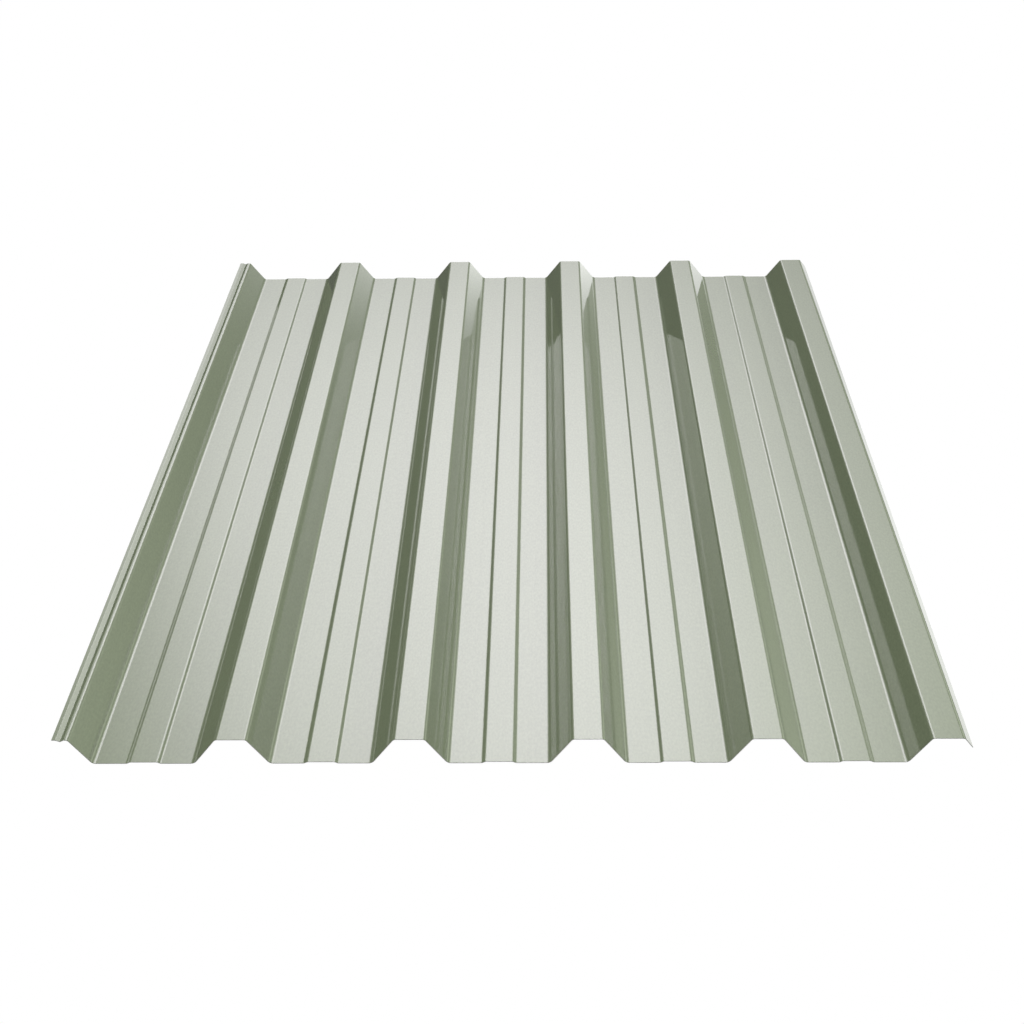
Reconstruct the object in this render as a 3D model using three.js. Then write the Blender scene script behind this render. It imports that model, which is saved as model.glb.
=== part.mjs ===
// Trapezoidal cladding sheet, roll-formed from one strip of coated steel.
//
// Millimetres, +Z up. The ribs run along Y and the sheet lies with its pans on the floor. The origin is
// the middle of the footprint, on the floor. The section is drawn as a fold line, which is the middle of
// the sheet's thickness, and the two faces follow it at half a thickness on either side.

import * as THREE from 'three';

// The strip
const sheetLength = 1600; // along the ribs, as cut to order
const thickness = 0.75; // steel with its coatings
const panCount = 5; // pans across the sheet, with one rib more

// One rib and one pan, measured between the corners of the folds as if these were sharp
const panWidth = 119; // the flat trough between two ribs
const crownWidth = 36; // the flat top of a rib
const webRun = 26; // how far a web reaches sideways as it rises
const ribHeight = 32.5; // from the face of a pan up to the same face of a crown
const crownFoldRadius = 5.5; // inside radius of the folds between web and crown
const panFoldRadius = 8.5; // inside radius of the folds between web and pan, which are rolled rounder

// The shallow raised stiffener along the middle of each pan
const stiffenerBase = 39.5;
const stiffenerTop = 32;
const stiffenerHeight = 1.8;
const stiffenerRadius = 6; // inside radius of its four folds

// The underlap edge, half a crown wide, which the next sheet covers: a groove that stops water creeping
const underlapLedge = 4.5; // flat of the crown between web and groove
const grooveInnerRun = 4;
const grooveOuterRun = 5.5;
const grooveDepth = 2;
const grooveRadius = 1.2; // inside radius of the folds of the groove
const underlapTipRun = 4.4; // the last flat strip, beyond the groove

// The overlap edge, a whole crown with a lip that lies along the web of the sheet under it. Its crown is a
// little wider than the others, so that it goes over the crown of the next sheet.
const overlapCrownWidth = 36.5;
const lipRun = 10;

const facetsInHalfFold = 2; // straight facets in each half of a fold

// Sizes that follow
const pitch = crownWidth + panWidth + 2 * webRun;
const lipDrop = (lipRun * ribHeight) / webRun; // the same slope as a web
const halfThickness = thickness / 2;

// The fold line is a list of corners from the underlap edge to the overlap edge. Rib 0 is centred on
// x = 0, and the fold line of a pan is at z = 0.
const foldLine = [];

function foldAt(x, z, insideRadius) {
  foldLine.push({ at: new THREE.Vector2(x, z), insideRadius });
}

function endAt(x, z) {
  foldAt(x, z, 0);
}

function addUnderlapEdge() {
  const ledgeEnd = crownWidth / 2 - underlapLedge;
  const grooveBottom = ledgeEnd - grooveInnerRun;
  const grooveRim = grooveBottom - grooveOuterRun;
  endAt(grooveRim - underlapTipRun, ribHeight);
  foldAt(grooveRim, ribHeight, grooveRadius);
  foldAt(grooveBottom, ribHeight - grooveDepth, grooveRadius);
  foldAt(ledgeEnd, ribHeight, grooveRadius);
}

function addStiffener(middle) {
  foldAt(middle - stiffenerBase / 2, 0, stiffenerRadius);
  foldAt(middle - stiffenerTop / 2, stiffenerHeight, stiffenerRadius);
  foldAt(middle + stiffenerTop / 2, stiffenerHeight, stiffenerRadius);
  foldAt(middle + stiffenerBase / 2, 0, stiffenerRadius);
}

// Down the web from one crown, across the pan, and up the next web
function addPan(index) {
  const crownEdge = index * pitch + crownWidth / 2;
  const panStart = crownEdge + webRun;
  const panEnd = panStart + panWidth;
  foldAt(crownEdge, ribHeight, crownFoldRadius);
  foldAt(panStart, 0, panFoldRadius);
  addStiffener((panStart + panEnd) / 2);
  foldAt(panEnd, 0, panFoldRadius);
  foldAt(panEnd + webRun, ribHeight, crownFoldRadius);
}

function addOverlapEdge() {
  const crownStart = panCount * pitch - crownWidth / 2;
  const crownEdge = crownStart + overlapCrownWidth;
  foldAt(crownEdge, ribHeight, crownFoldRadius);
  endAt(crownEdge + lipRun, ribHeight - lipDrop);
}

// A fold as the arc of the fold line itself: its centre, its radius, its two angles and its sense
function bendOf(before, corner, after) {
  const into = corner.at.clone().sub(before.at).normalize();
  const out = after.at.clone().sub(corner.at).normalize();
  const side = Math.sign(into.cross(out)); // 1 where the line turns left, which is upwards
  const turn = Math.acos(into.dot(out));
  const radius = corner.insideRadius + halfThickness;
  const setback = radius * Math.tan(turn / 2);
  const start = corner.at.clone().addScaledVector(into, -setback);
  const normal = new THREE.Vector2(-into.y, into.x);
  const centre = start.clone().addScaledVector(normal, side * radius);
  const startAngle = start.sub(centre).angle();
  return { centre, radius, side, startAngle, endAngle: startAngle + side * turn };
}

// Where the cut edge at one end of the strip meets a face, across being how far that face is from the
// fold line. The cut is square to the sheet.
function edgeCorner(end, neighbour, across) {
  const along = neighbour.at.clone().sub(end.at).normalize();
  const normal = new THREE.Vector2(-along.y, along.x);
  return end.at.clone().addScaledVector(normal, across);
}

// The section: up the underlap's cut edge, along the upper face, down the overlap's cut edge, and back
// along the lower face
function sheetSection() {
  const first = foldLine[0];
  const last = foldLine[foldLine.length - 1];
  const bends = foldLine.slice(1, -1).map((corner, i) => bendOf(foldLine[i], corner, foldLine[i + 2]));

  const section = new THREE.Shape();
  const underlapLower = edgeCorner(first, foldLine[1], -halfThickness);
  const underlapUpper = edgeCorner(first, foldLine[1], halfThickness);
  section.moveTo(underlapLower.x, underlapLower.y);
  section.lineTo(underlapUpper.x, underlapUpper.y);
  for (const { centre, radius, side, startAngle, endAngle } of bends) {
    section.absarc(centre.x, centre.y, radius - side * halfThickness, startAngle, endAngle, side < 0);
  }
  const overlapUpper = edgeCorner(last, foldLine[foldLine.length - 2], -halfThickness);
  const overlapLower = edgeCorner(last, foldLine[foldLine.length - 2], halfThickness);
  section.lineTo(overlapUpper.x, overlapUpper.y);
  section.lineTo(overlapLower.x, overlapLower.y);
  for (const { centre, radius, side, startAngle, endAngle } of bends.reverse()) {
    section.absarc(centre.x, centre.y, radius + side * halfThickness, endAngle, startAngle, side > 0);
  }
  section.closePath();
  return section;
}

function makeSheet() {
  addUnderlapEdge();
  for (let index = 0; index < panCount; index += 1) addPan(index);
  addOverlapEdge();

  const geometry = new THREE.ExtrudeGeometry(sheetSection(), {
    depth: sheetLength,
    steps: 1,
    curveSegments: facetsInHalfFold,
    bevelEnabled: false,
  });
  const coating = new THREE.MeshStandardMaterial({ color: 0x8c9a78, roughness: 0.1, metalness: 0 });
  const sheet = new THREE.Mesh(geometry, coating);
  sheet.name = 'profiled_sheet';

  // Stand the section up, with the extrusion along Y, and centre its footprint on the origin
  geometry.computeBoundingBox();
  const { min, max } = geometry.boundingBox;
  sheet.rotation.x = Math.PI / 2;
  sheet.position.set(-(min.x + max.x) / 2, sheetLength / 2, -min.y);
  return sheet;
}

const part = new THREE.Group();
part.add(makeSheet());

export default part;
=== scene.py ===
import math

import bpy
from mathutils import Matrix


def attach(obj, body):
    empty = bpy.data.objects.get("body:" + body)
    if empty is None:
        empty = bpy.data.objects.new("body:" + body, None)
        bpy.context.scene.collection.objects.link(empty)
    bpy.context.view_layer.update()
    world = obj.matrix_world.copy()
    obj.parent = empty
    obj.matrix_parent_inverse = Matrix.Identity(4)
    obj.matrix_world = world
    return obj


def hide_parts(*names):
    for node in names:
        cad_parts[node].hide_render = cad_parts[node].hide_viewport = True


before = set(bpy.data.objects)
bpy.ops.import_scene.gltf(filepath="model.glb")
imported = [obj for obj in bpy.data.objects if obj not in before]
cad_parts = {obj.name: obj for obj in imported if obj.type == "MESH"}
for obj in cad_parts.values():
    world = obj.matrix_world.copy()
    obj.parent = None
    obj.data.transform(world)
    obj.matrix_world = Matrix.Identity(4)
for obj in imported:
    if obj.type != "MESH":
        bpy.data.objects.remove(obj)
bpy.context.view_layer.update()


# ---------------------------------------------------------------------------
# The sheet. One strip of zinc-coated steel, painted on the coil, which a row of rolls folds into
# flat-topped ribs and wide pans with a shallow raised stiffener in each. One long edge ends in half a
# crown with a water groove, the other in a whole crown with a lip that laps over the next sheet.
# ---------------------------------------------------------------------------

sheet_length = 1.600
strip_thickness = 0.00075
pan_count = 5

pan_width = 0.119
crown_width = 0.036
web_run = 0.026
rib_height = 0.0325
crown_fold_radius = 0.0055
pan_fold_radius = 0.0085

stiffener_base = 0.0395
stiffener_top = 0.032
stiffener_height = 0.0018
stiffener_radius = 0.006

underlap_ledge = 0.0045
groove_inner_run = 0.004
groove_outer_run = 0.0055
groove_depth = 0.002
groove_radius = 0.0012
underlap_tip_run = 0.0044

overlap_crown_width = 0.0365
lip_run = 0.010

facets_in_fold = 12


def add_node(tree, kind, settings=None, inputs=None):
    """One node with its settings, and a value or another node's output in each socket named."""
    made = tree.nodes.new(kind)
    for setting, value in (settings or {}).items():
        setattr(made, setting, value)
    for socket, value in (inputs or {}).items():
        if isinstance(value, bpy.types.NodeSocket):
            tree.links.new(value, made.inputs[socket])
        else:
            made.inputs[socket].default_value = value
    return made


# The three surfaces: the face coat on top, the thinner backing coat below, and the bare cut edges

def new_finish(name):
    finish = bpy.data.materials.new(name)
    finish.use_nodes = True
    finish.node_tree.nodes.clear()
    return finish


def drawn_out_noise(tree, size_across, size_along, detail):
    """A pattern from 0 to 1 whose spots have one size across the strip and another along it."""
    spot = add_node(tree, "ShaderNodeTexCoord").outputs["Object"]
    spots_per_metre = (1 / size_across, 1 / size_along, 1 / size_across)
    laid = add_node(tree, "ShaderNodeMapping", inputs={"Vector": spot, "Scale": spots_per_metre}).outputs[0]
    return add_node(tree, "ShaderNodeTexNoise", inputs={
        "Vector": laid, "Scale": 1.0, "Detail": detail}).outputs[0]


def blend(tree, first, second, share):
    """The first pattern, with a share of the second one in its place."""
    return add_node(tree, "ShaderNodeMix", {"data_type": "FLOAT"}, {
        "Factor": share, "A": first, "B": second}).outputs[0]


def between(tree, pattern, low, high):
    """The middle of a pattern's range, where nearly all of it lies, spread out from low to high."""
    return add_node(tree, "ShaderNodeMapRange", inputs={
        "Value": pattern, "From Min": 0.3, "From Max": 0.7, "To Min": low, "To Max": high}).outputs[0]


def tint(tree, pattern, dark, light):
    share = between(tree, pattern, 0.0, 1.0)
    colours = add_node(tree, "ShaderNodeValToRGB", inputs={"Fac": share})
    colours.color_ramp.elements[0].color = (*dark, 1)
    colours.color_ramp.elements[1].color = (*light, 1)
    return colours.outputs["Color"]


def relief(tree, pattern, depth, under=None):
    """The pattern as relief of the given depth in metres, on top of another relief."""
    inputs = {"Height": pattern, "Strength": 1.0, "Distance": depth}
    if under is not None:
        inputs["Normal"] = under
    return add_node(tree, "ShaderNodeBump", inputs=inputs).outputs[0]


def face_coat():
    """Grey-green paint, baked glossy on the coil, with a fine pearl grain and traces of the roller."""
    finish = new_finish("grey_green_face_coat")
    tree = finish.node_tree
    pearl = drawn_out_noise(tree, size_across=0.0024, size_along=0.006, detail=1.0)
    clouds = drawn_out_noise(tree, size_across=0.09, size_along=0.22, detail=2.0)
    roller_lines = drawn_out_noise(tree, size_across=0.006, size_along=0.9, detail=2.0)
    orange_peel = drawn_out_noise(tree, size_across=0.005, size_along=0.010, detail=1.0)
    streaked_pearl = blend(tree, pearl, roller_lines, share=0.18)
    lightness = blend(tree, streaked_pearl, clouds, share=0.22)
    haze = blend(tree, clouds, pearl, share=0.4)
    pearl_depth = 0.000002
    orange_peel_depth = 0.000014
    skin = relief(tree, pearl, pearl_depth, under=relief(tree, orange_peel, orange_peel_depth))
    darker_paint = (0.207, 0.250, 0.150)
    lighter_paint = (0.247, 0.299, 0.1795)
    glossiest = 0.035
    haziest = 0.06
    gloss = add_node(tree, "ShaderNodeBsdfPrincipled", inputs={
        "Base Color": tint(tree, lightness, darker_paint, lighter_paint),
        "Roughness": between(tree, haze, glossiest, haziest),
        "IOR": 1.5,
        "Normal": skin,
    })
    add_node(tree, "ShaderNodeOutputMaterial", inputs={"Surface": gloss.outputs[0]})
    return finish


def backing_coat():
    """A thin pale grey primer, semi-matt, with the lines of the roller that laid it on."""
    finish = new_finish("grey_backing_coat")
    tree = finish.node_tree
    roller_lines = drawn_out_noise(tree, size_across=0.003, size_along=0.6, detail=3.0)
    clouds = drawn_out_noise(tree, size_across=0.05, size_along=0.12, detail=3.0)
    grain = drawn_out_noise(tree, size_across=0.0015, size_along=0.002, detail=1.0)
    streaked_clouds = blend(tree, clouds, roller_lines, share=0.4)
    lightness = blend(tree, streaked_clouds, grain, share=0.35)
    grain_depth = 0.000008
    roller_line_depth = 0.00001
    skin = relief(tree, grain, grain_depth, under=relief(tree, roller_lines, roller_line_depth))
    darker_primer = (0.36, 0.37, 0.35)
    lighter_primer = (0.50, 0.51, 0.49)
    smoothest = 0.42
    dullest = 0.55
    primer = add_node(tree, "ShaderNodeBsdfPrincipled", inputs={
        "Base Color": tint(tree, lightness, darker_primer, lighter_primer),
        "Roughness": between(tree, lightness, smoothest, dullest),
        "IOR": 1.5,
        "Normal": skin,
    })
    add_node(tree, "ShaderNodeOutputMaterial", inputs={"Surface": primer.outputs[0]})
    return finish


def cut_steel():
    """The bare edge that the shear leaves: bright where the blade slid, dull where the steel tore."""
    finish = new_finish("sheared_steel")
    tree = finish.node_tree
    shear_marks = drawn_out_noise(tree, size_across=0.0004, size_along=0.0004, detail=2.0)
    stains = drawn_out_noise(tree, size_across=0.012, size_along=0.05, detail=2.0)
    brightness = blend(tree, shear_marks, stains, share=0.4)
    dull_steel = (0.40, 0.42, 0.38)
    bright_steel = (0.58, 0.60, 0.55)
    torn_roughness = 0.55
    slid_roughness = 0.38
    shear_mark_depth = 0.00001
    edge = add_node(tree, "ShaderNodeBsdfPrincipled", inputs={
        "Base Color": tint(tree, brightness, dull_steel, bright_steel),
        "Metallic": 0.5,
        "Roughness": between(tree, brightness, torn_roughness, slid_roughness),
        "Normal": relief(tree, shear_marks, shear_mark_depth),
    })
    add_node(tree, "ShaderNodeOutputMaterial", inputs={"Surface": edge.outputs[0]})
    return finish


# The rolls, as a node tree. It lays out the fold line corner by corner, rounds each corner, draws the line
# out to the length of the sheet and gives it its thickness.

rolls = bpy.data.node_groups.new("sheet_rolls", "GeometryNodeTree")
roll_settings = {
    "Length": sheet_length,
    "Thickness": strip_thickness,
    "Pans": pan_count,
    "Pan width": pan_width,
    "Crown width": crown_width,
    "Web run": web_run,
    "Rib height": rib_height,
    "Crown fold radius": crown_fold_radius,
    "Pan fold radius": pan_fold_radius,
    "Stiffener base": stiffener_base,
    "Stiffener top": stiffener_top,
    "Stiffener height": stiffener_height,
    "Stiffener radius": stiffener_radius,
    "Ledge": underlap_ledge,
    "Groove inner run": groove_inner_run,
    "Groove outer run": groove_outer_run,
    "Groove depth": groove_depth,
    "Groove radius": groove_radius,
    "Tip run": underlap_tip_run,
    "Overlap crown width": overlap_crown_width,
    "Lip run": lip_run,
    "Facets": facets_in_fold,
    "Face coat": face_coat(),
    "Backing coat": backing_coat(),
    "Cut edge": cut_steel(),
}
socket_kinds = {int: "NodeSocketInt", float: "NodeSocketFloat", bpy.types.Material: "NodeSocketMaterial"}

rolls.interface.new_socket("Geometry", in_out="INPUT", socket_type="NodeSocketGeometry")
rolls.interface.new_socket("Geometry", in_out="OUTPUT", socket_type="NodeSocketGeometry")
for label, value in roll_settings.items():
    rolls.interface.new_socket(label, in_out="INPUT", socket_type=socket_kinds[type(value)])
setting = add_node(rolls, "NodeGroupInput").outputs


def compute(operation, *terms):
    inputs = dict(enumerate(terms))
    return add_node(rolls, "ShaderNodeMath", {"operation": operation}, inputs).outputs[0]


def compute_whole(operation, *terms):
    inputs = dict(enumerate(terms))
    return add_node(rolls, "FunctionNodeIntegerMath", {"operation": operation}, inputs).outputs[0]


def across_and_up(run, rise):
    return add_node(rolls, "ShaderNodeCombineXYZ", inputs={"X": run, "Z": rise}).outputs[0]


def reached(corner, first):
    """True for every corner from the first one on."""
    test = add_node(rolls, "FunctionNodeCompare", {"data_type": "INT", "operation": "GREATER_EQUAL"})
    counted, counted_from = test.inputs[2:4]  # the pair that takes whole numbers
    rolls.links.new(corner, counted)
    if isinstance(first, bpy.types.NodeSocket):
        rolls.links.new(first, counted_from)
    else:
        counted_from.default_value = first
    return test.outputs[0]


def choose(kind, test, when_true, when_false):
    inputs = {"Switch": test, "True": when_true, "False": when_false}
    return add_node(rolls, "GeometryNodeSwitch", {"input_type": kind}, inputs).outputs[0]


def pick(kind, place, choices):
    """The one of the choices that stands at the given place in their list."""
    switch = add_node(rolls, "GeometryNodeIndexSwitch", {"data_type": kind}, {"Index": place})
    while len(switch.index_switch_items) < len(choices):
        switch.index_switch_items.new()
    for number, choice in enumerate(choices, start=1):
        if isinstance(choice, bpy.types.NodeSocket):
            rolls.links.new(choice, switch.inputs[number])
        else:
            switch.inputs[number].default_value = choice
    return switch.outputs[0]


web_down = compute("MULTIPLY", setting["Rib height"], -1.0)
step_run = compute("MULTIPLY", compute("SUBTRACT", setting["Stiffener base"], setting["Stiffener top"]), 0.5)
step_down = compute("MULTIPLY", setting["Stiffener height"], -1.0)
pan_flat = compute("MULTIPLY", compute("SUBTRACT", setting["Pan width"], setting["Stiffener base"]), 0.5)
groove_down = compute("MULTIPLY", setting["Groove depth"], -1.0)
lip_down = compute("DIVIDE", compute("MULTIPLY", setting["Lip run"], web_down), setting["Web run"])
wider_overlap = compute("SUBTRACT", setting["Overlap crown width"], setting["Crown width"])

# Each step goes from one corner of the fold line to the next, and has the radius of the fold it ends in.
# These lead over the underlap edge to the first web:
underlap_steps = [
    (across_and_up(0.0, 0.0), 0.0),
    (across_and_up(setting["Tip run"], 0.0), setting["Groove radius"]),
    (across_and_up(setting["Groove outer run"], groove_down), setting["Groove radius"]),
    (across_and_up(setting["Groove inner run"], setting["Groove depth"]), setting["Groove radius"]),
    (across_and_up(setting["Ledge"], 0.0), setting["Crown fold radius"]),
]
# these down one web, across a pan with its stiffener, up the next web and over its crown:
pitch_steps = [
    (across_and_up(setting["Web run"], web_down), setting["Pan fold radius"]),
    (across_and_up(pan_flat, 0.0), setting["Stiffener radius"]),
    (across_and_up(step_run, setting["Stiffener height"]), setting["Stiffener radius"]),
    (across_and_up(setting["Stiffener top"], 0.0), setting["Stiffener radius"]),
    (across_and_up(step_run, step_down), setting["Stiffener radius"]),
    (across_and_up(pan_flat, 0.0), setting["Pan fold radius"]),
    (across_and_up(setting["Web run"], setting["Rib height"]), setting["Crown fold radius"]),
    (across_and_up(setting["Crown width"], 0.0), setting["Crown fold radius"]),
]
# and this down the lip, past what the last crown is wider than the others:
lip_step = (across_and_up(setting["Lip run"], lip_down), 0.0)

corner = add_node(rolls, "GeometryNodeInputIndex").outputs[0]
first_web = len(underlap_steps)
in_pitch = compute_whole("MODULO", compute_whole("SUBTRACT", corner, first_web), len(pitch_steps))
lip_end = compute_whole("ADD", compute_whole("MULTIPLY", setting["Pans"], len(pitch_steps)), first_web)
overlap_fold = compute_whole("SUBTRACT", lip_end, 1)
move, fold_radius = 0, 1


def at_each_corner(kind, part):
    """One part of the steps, their move or their fold radius, for every corner of the fold line."""
    over_pitch = pick(kind, in_pitch, [step[part] for step in pitch_steps])
    over_underlap = pick(kind, corner, [step[part] for step in underlap_steps])
    rolled = choose(kind, reached(corner, first_web), over_pitch, over_underlap)
    return choose(kind, reached(corner, lip_end), lip_step[part], rolled)


def put(geometry, position=None, offset=None):
    inputs = {"Geometry": geometry}
    if position is not None:
        inputs["Position"] = position
    if offset is not None:
        inputs["Offset"] = offset
    return add_node(rolls, "GeometryNodeSetPosition", inputs=inputs).outputs[0]


corner_row = add_node(rolls, "GeometryNodeMeshLine", inputs={
    "Count": compute_whole("ADD", lip_end, 1), "Offset": (0.0, 0.0, 0.0)}).outputs[0]
steps_so_far = add_node(rolls, "GeometryNodeAccumulateField", {"data_type": "FLOAT_VECTOR"}, {
    0: at_each_corner("VECTOR", move)}).outputs["Leading"]
sharp_corners = put(corner_row, position=steps_so_far)
past_overlap = across_and_up(wider_overlap, 0.0)
no_move = across_and_up(0.0, 0.0)
widened = put(sharp_corners, offset=choose("VECTOR", reached(corner, overlap_fold), past_overlap, no_move))
sharp_line = add_node(rolls, "GeometryNodeMeshToCurve", inputs={"Mesh": widened}).outputs[0]
fold_line = add_node(rolls, "GeometryNodeFilletCurve", {"mode": "POLY"}, {
    "Curve": sharp_line,
    "Count": setting["Facets"],
    "Radius": at_each_corner("FLOAT", fold_radius),
    "Limit Radius": True,
}).outputs[0]
folds = add_node(rolls, "GeometryNodeCurveToMesh", inputs={"Curve": fold_line}).outputs[0]

# The fold line is drawn out from the back cut edge to the front one, which leaves its faces looking up, and
# gets half the thickness on each side
to_back = add_node(rolls, "ShaderNodeCombineXYZ", inputs={
    "Y": compute("MULTIPLY", setting["Length"], 0.5)}).outputs[0]
to_front = add_node(rolls, "ShaderNodeCombineXYZ", inputs={
    "Y": compute("MULTIPLY", setting["Length"], -1.0)}).outputs[0]
middle_skin = add_node(rolls, "GeometryNodeExtrudeMesh", {"mode": "EDGES"}, {
    "Mesh": put(folds, offset=to_back), "Offset": to_front, "Offset Scale": 1.0}).outputs["Mesh"]
upwards = add_node(rolls, "GeometryNodeInputNormal").outputs[0]
half_down = add_node(rolls, "ShaderNodeVectorMath", {"operation": "SCALE"}, {
    "Vector": upwards, "Scale": compute("MULTIPLY", setting["Thickness"], -0.5)}).outputs[0]
lower_skin = put(middle_skin, offset=half_down)
raised = add_node(rolls, "GeometryNodeExtrudeMesh", {"mode": "FACES"}, {
    "Mesh": lower_skin, "Offset Scale": setting["Thickness"], "Individual": False})
underside = add_node(rolls, "GeometryNodeFlipFaces", inputs={"Mesh": lower_skin}).outputs[0]
both_skins = add_node(rolls, "GeometryNodeJoinGeometry")
rolls.links.new(underside, both_skins.inputs[0])
rolls.links.new(raised.outputs["Mesh"], both_skins.inputs[0])
weld_distance = 0.000002
sealed = add_node(rolls, "GeometryNodeMergeByDistance", inputs={
    "Geometry": both_skins.outputs[0], "Distance": weld_distance}).outputs[0]

# The middle of the footprint goes to the origin, with the pans on the floor
reach = add_node(rolls, "GeometryNodeBoundBox", inputs={"Geometry": sealed})
lowest = add_node(rolls, "ShaderNodeSeparateXYZ", inputs={"Vector": reach.outputs["Min"]}).outputs
highest = add_node(rolls, "ShaderNodeSeparateXYZ", inputs={"Vector": reach.outputs["Max"]}).outputs
to_middle = compute("MULTIPLY", compute("ADD", lowest["X"], highest["X"]), -0.5)
laid_down = put(sealed, offset=across_and_up(to_middle, compute("MULTIPLY", lowest["Z"], -1.0)))

finished = add_node(rolls, "GeometryNodeRealizeInstances", inputs={"Geometry": laid_down}).outputs[0]
coats = (("Backing coat", True), ("Face coat", raised.outputs["Top"]), ("Cut edge", raised.outputs["Side"]))
for coat, where in coats:
    finished = add_node(rolls, "GeometryNodeSetMaterial", inputs={
        "Geometry": finished, "Selection": where, "Material": setting[coat]}).outputs[0]
add_node(rolls, "NodeGroupOutput", inputs={"Geometry": finished})

strip = bpy.data.objects.new("strip", bpy.data.meshes.new("strip"))
bpy.context.scene.collection.objects.link(strip)
rolling = strip.modifiers.new("rolls", "NODES")
rolling.node_group = rolls
for socket in rolls.interface.items_tree:
    if socket.in_out == "INPUT" and socket.name in roll_settings:
        rolling[socket.identifier] = roll_settings[socket.name]

rolled_strip = strip.evaluated_get(bpy.context.evaluated_depsgraph_get())
sheet_mesh = bpy.data.meshes.new_from_object(rolled_strip)
sheet_mesh.name = "rolled_sheet"
bpy.data.objects.remove(strip)
sheet = bpy.data.objects.new("rolled_sheet", sheet_mesh)
bpy.context.scene.collection.objects.link(sheet)

# The folds shade round and the flats stay flat, right up to the folds
cut_edge_angle = math.radians(60)
sheet_mesh.shade_smooth()
sheet_mesh.set_sharp_from_angle(angle=cut_edge_angle)
flats_first = sheet.modifiers.new("flats_first", "WEIGHTED_NORMAL")
flats_first.keep_sharp = True
flats_first.weight = 100

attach(sheet, "root")
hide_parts("profiled_sheet")


# ---------------------------------------------------------------------------
# The floor. White studio paper, rolled out flat and turned up at its far edges so that it fills the
# picture from every side. It shows to the camera alone: all that lights the sheet is in the next section.
# ---------------------------------------------------------------------------

paper_reach = 30.0
paper_upturn = 15.0
ways_out = ((-1, -1), (1, -1), (1, 1), (-1, 1))
flat_corners = [(x * paper_reach, y * paper_reach, 0.0) for x, y in ways_out]
top_corners = [(x * paper_reach, y * paper_reach, paper_upturn) for x, y in ways_out]
upturns = [(side, side + 4, (side + 1) % 4 + 4, (side + 1) % 4) for side in range(4)]
floor_mesh = bpy.data.meshes.new("floor")
floor_mesh.from_pydata(flat_corners + top_corners, [], [(0, 1, 2, 3), *upturns])
floor = bpy.data.objects.new("floor", floor_mesh)
bpy.context.scene.collection.objects.link(floor)

paper = new_finish("white_paper")
glow = add_node(paper.node_tree, "ShaderNodeEmission", inputs={"Strength": 1.0})
add_node(paper.node_tree, "ShaderNodeOutputMaterial", inputs={"Surface": glow.outputs[0]})
floor_mesh.materials.append(paper)
floor.visible_diffuse = False
floor.visible_glossy = False
floor.visible_shadow = False


# ---------------------------------------------------------------------------
# The light. Soft panels all round the sheet: a key light high ahead and a lower panel behind, which the
# flats mirror, a card on the right and a low one past the back edge, which the webs mirror, and dim fills
# from overhead and below. Each is as bright in its middle as its strength and fades out all round.
# ---------------------------------------------------------------------------

world = bpy.data.worlds.new("studio")
bpy.context.scene.world = world
world.use_nodes = True
world.node_tree.nodes.clear()


def reckon(operation, *terms):
    inputs = dict(enumerate(terms))
    return add_node(world.node_tree, "ShaderNodeMath", {"operation": operation}, inputs).outputs[0]


way = add_node(world.node_tree, "ShaderNodeTexCoord").outputs["Generated"]
along = add_node(world.node_tree, "ShaderNodeSeparateXYZ", inputs={"Vector": way}).outputs
way_bearing = reckon("ARCTAN2", along["X"], along["Y"])
way_height = reckon("ARCSINE", along["Z"])


def half_sizes_off(angle, middle, half_size):
    """How far a direction lies from the middle of a light, counted in the light's half sizes and squared."""
    apart = reckon("WRAP", reckon("SUBTRACT", angle, math.radians(middle)), math.pi, -math.pi)
    return reckon("POWER", reckon("ABSOLUTE", reckon("DIVIDE", apart, math.radians(half_size))), 2.0)


def soft_light(off_centre, strength):
    """As bright as its strength in the middle, and fading away round it as a bell curve does."""
    return reckon("MULTIPLY", reckon("EXPONENT", reckon("MULTIPLY", off_centre, -0.5)), strength)


def soft_panel(bearing, height, half_width, half_height, strength):
    """A panel with its middle to the right of straight ahead and above the horizon, all in degrees."""
    sideways = half_sizes_off(way_bearing, bearing, half_width)
    upwards = half_sizes_off(way_height, height, half_height)
    return soft_light(reckon("ADD", sideways, upwards), strength)


def soft_pole(height, half_height, strength):
    """A round light straight above, at a height of 90 degrees, or straight below."""
    return soft_light(half_sizes_off(way_height, height, half_height), strength)


def shine(colour, *panels):
    """The panels together, as light of one colour."""
    strength = panels[0]
    for panel in panels[1:]:
        strength = reckon("ADD", strength, panel)
    return add_node(world.node_tree, "ShaderNodeBackground", inputs={
        "Color": (*colour, 1), "Strength": strength}).outputs[0]


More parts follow.
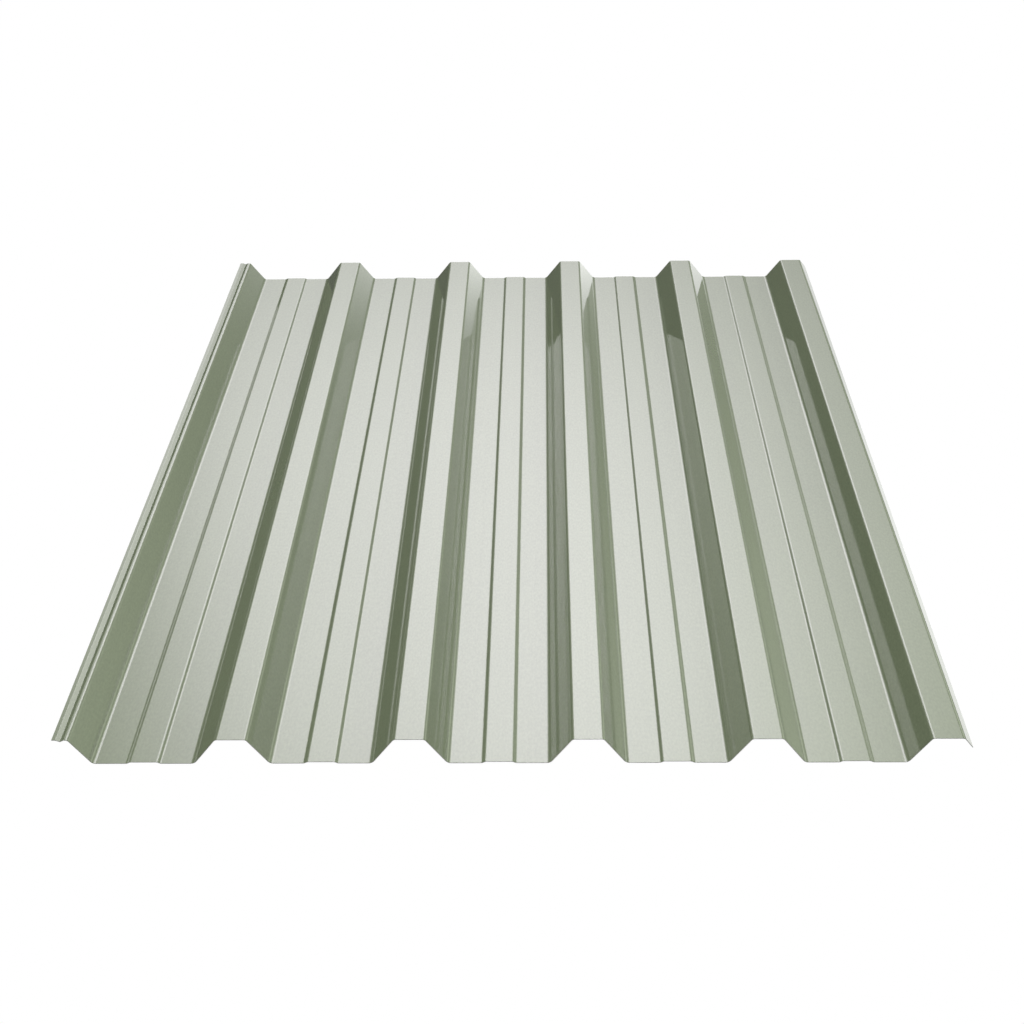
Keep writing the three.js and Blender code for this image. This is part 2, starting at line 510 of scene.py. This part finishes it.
overhead_fill = soft_pole(height=90, half_height=41, strength=0.82)
floor_bounce = soft_pole(height=-90, half_height=35, strength=0.65)
rear_panel = soft_panel(bearing=180, height=16, half_width=50, half_height=6, strength=1.6)
low_card = soft_panel(bearing=13, height=-1.5, half_width=4, half_height=4.6, strength=9.2)
pale_floor = soft_panel(bearing=27.5, height=-17.5, half_width=12, half_height=6, strength=1.65)
plain_white = (1.0, 1.0, 1.0)
all_light = shine(plain_white, overhead_fill, floor_bounce, rear_panel, low_card, pale_floor)

lower_key = soft_panel(bearing=-2, height=24.5, half_width=8, half_height=5.7, strength=2.5)
key_edge = soft_panel(bearing=-10, height=32, half_width=3, half_height=9, strength=1.2)
cool_white = (1.03, 1.0, 1.045)
cool_light = shine(cool_white, lower_key, key_edge)

key_middle = soft_panel(bearing=0, height=36.3, half_width=8.5, half_height=7, strength=3.05)
lilac_white = (1.14, 1.0, 1.27)
lilac_light = shine(lilac_white, key_middle)

key_spread = soft_panel(bearing=3, height=36.3, half_width=11.5, half_height=7, strength=3.35)
right_card = soft_panel(bearing=39, height=16, half_width=11, half_height=8.5, strength=2.6)
greenish_white = (0.93, 1.0, 0.83)
greenish_light = shine(greenish_white, key_spread, right_card)

for more_light in (cool_light, lilac_light, greenish_light):
    all_light = add_node(world.node_tree, "ShaderNodeAddShader", inputs={
        0: all_light, 1: more_light}).outputs[0]
add_node(world.node_tree, "ShaderNodeOutputWorld", inputs={"Surface": all_light})

bpy.context.scene.view_settings.view_transform = "Standard"


# ---------------------------------------------------------------------------
# The camera. A long lens at head height, a little over a metre and a half in front of the sheet. It looks
# down along the ribs, turned and tipped by about a degree.
# ---------------------------------------------------------------------------

lens_length = 68.231
sensor_width = 36.0
camera_place = (0.0396, -2.6674, 1.2915)
looks_down = math.radians(27.292)
turned_left = math.radians(1.074)
tipped_right = math.radians(0.731)
straight_ahead = math.radians(90)
farthest_seen = 200.0

camera_data = bpy.data.cameras.new("camera")
camera_data.sensor_width = sensor_width
camera_data.lens = lens_length
camera_data.clip_end = farthest_seen
camera = bpy.data.objects.new("camera", camera_data)
bpy.context.scene.collection.objects.link(camera)
bpy.context.scene.camera = camera
camera.matrix_world = (
    Matrix.Translation(camera_place)
    @ Matrix.Rotation(turned_left, 4, "Z")
    @ Matrix.Rotation(straight_ahead - looks_down, 4, "X")
    @ Matrix.Rotation(-tipped_right, 4, "Z"))
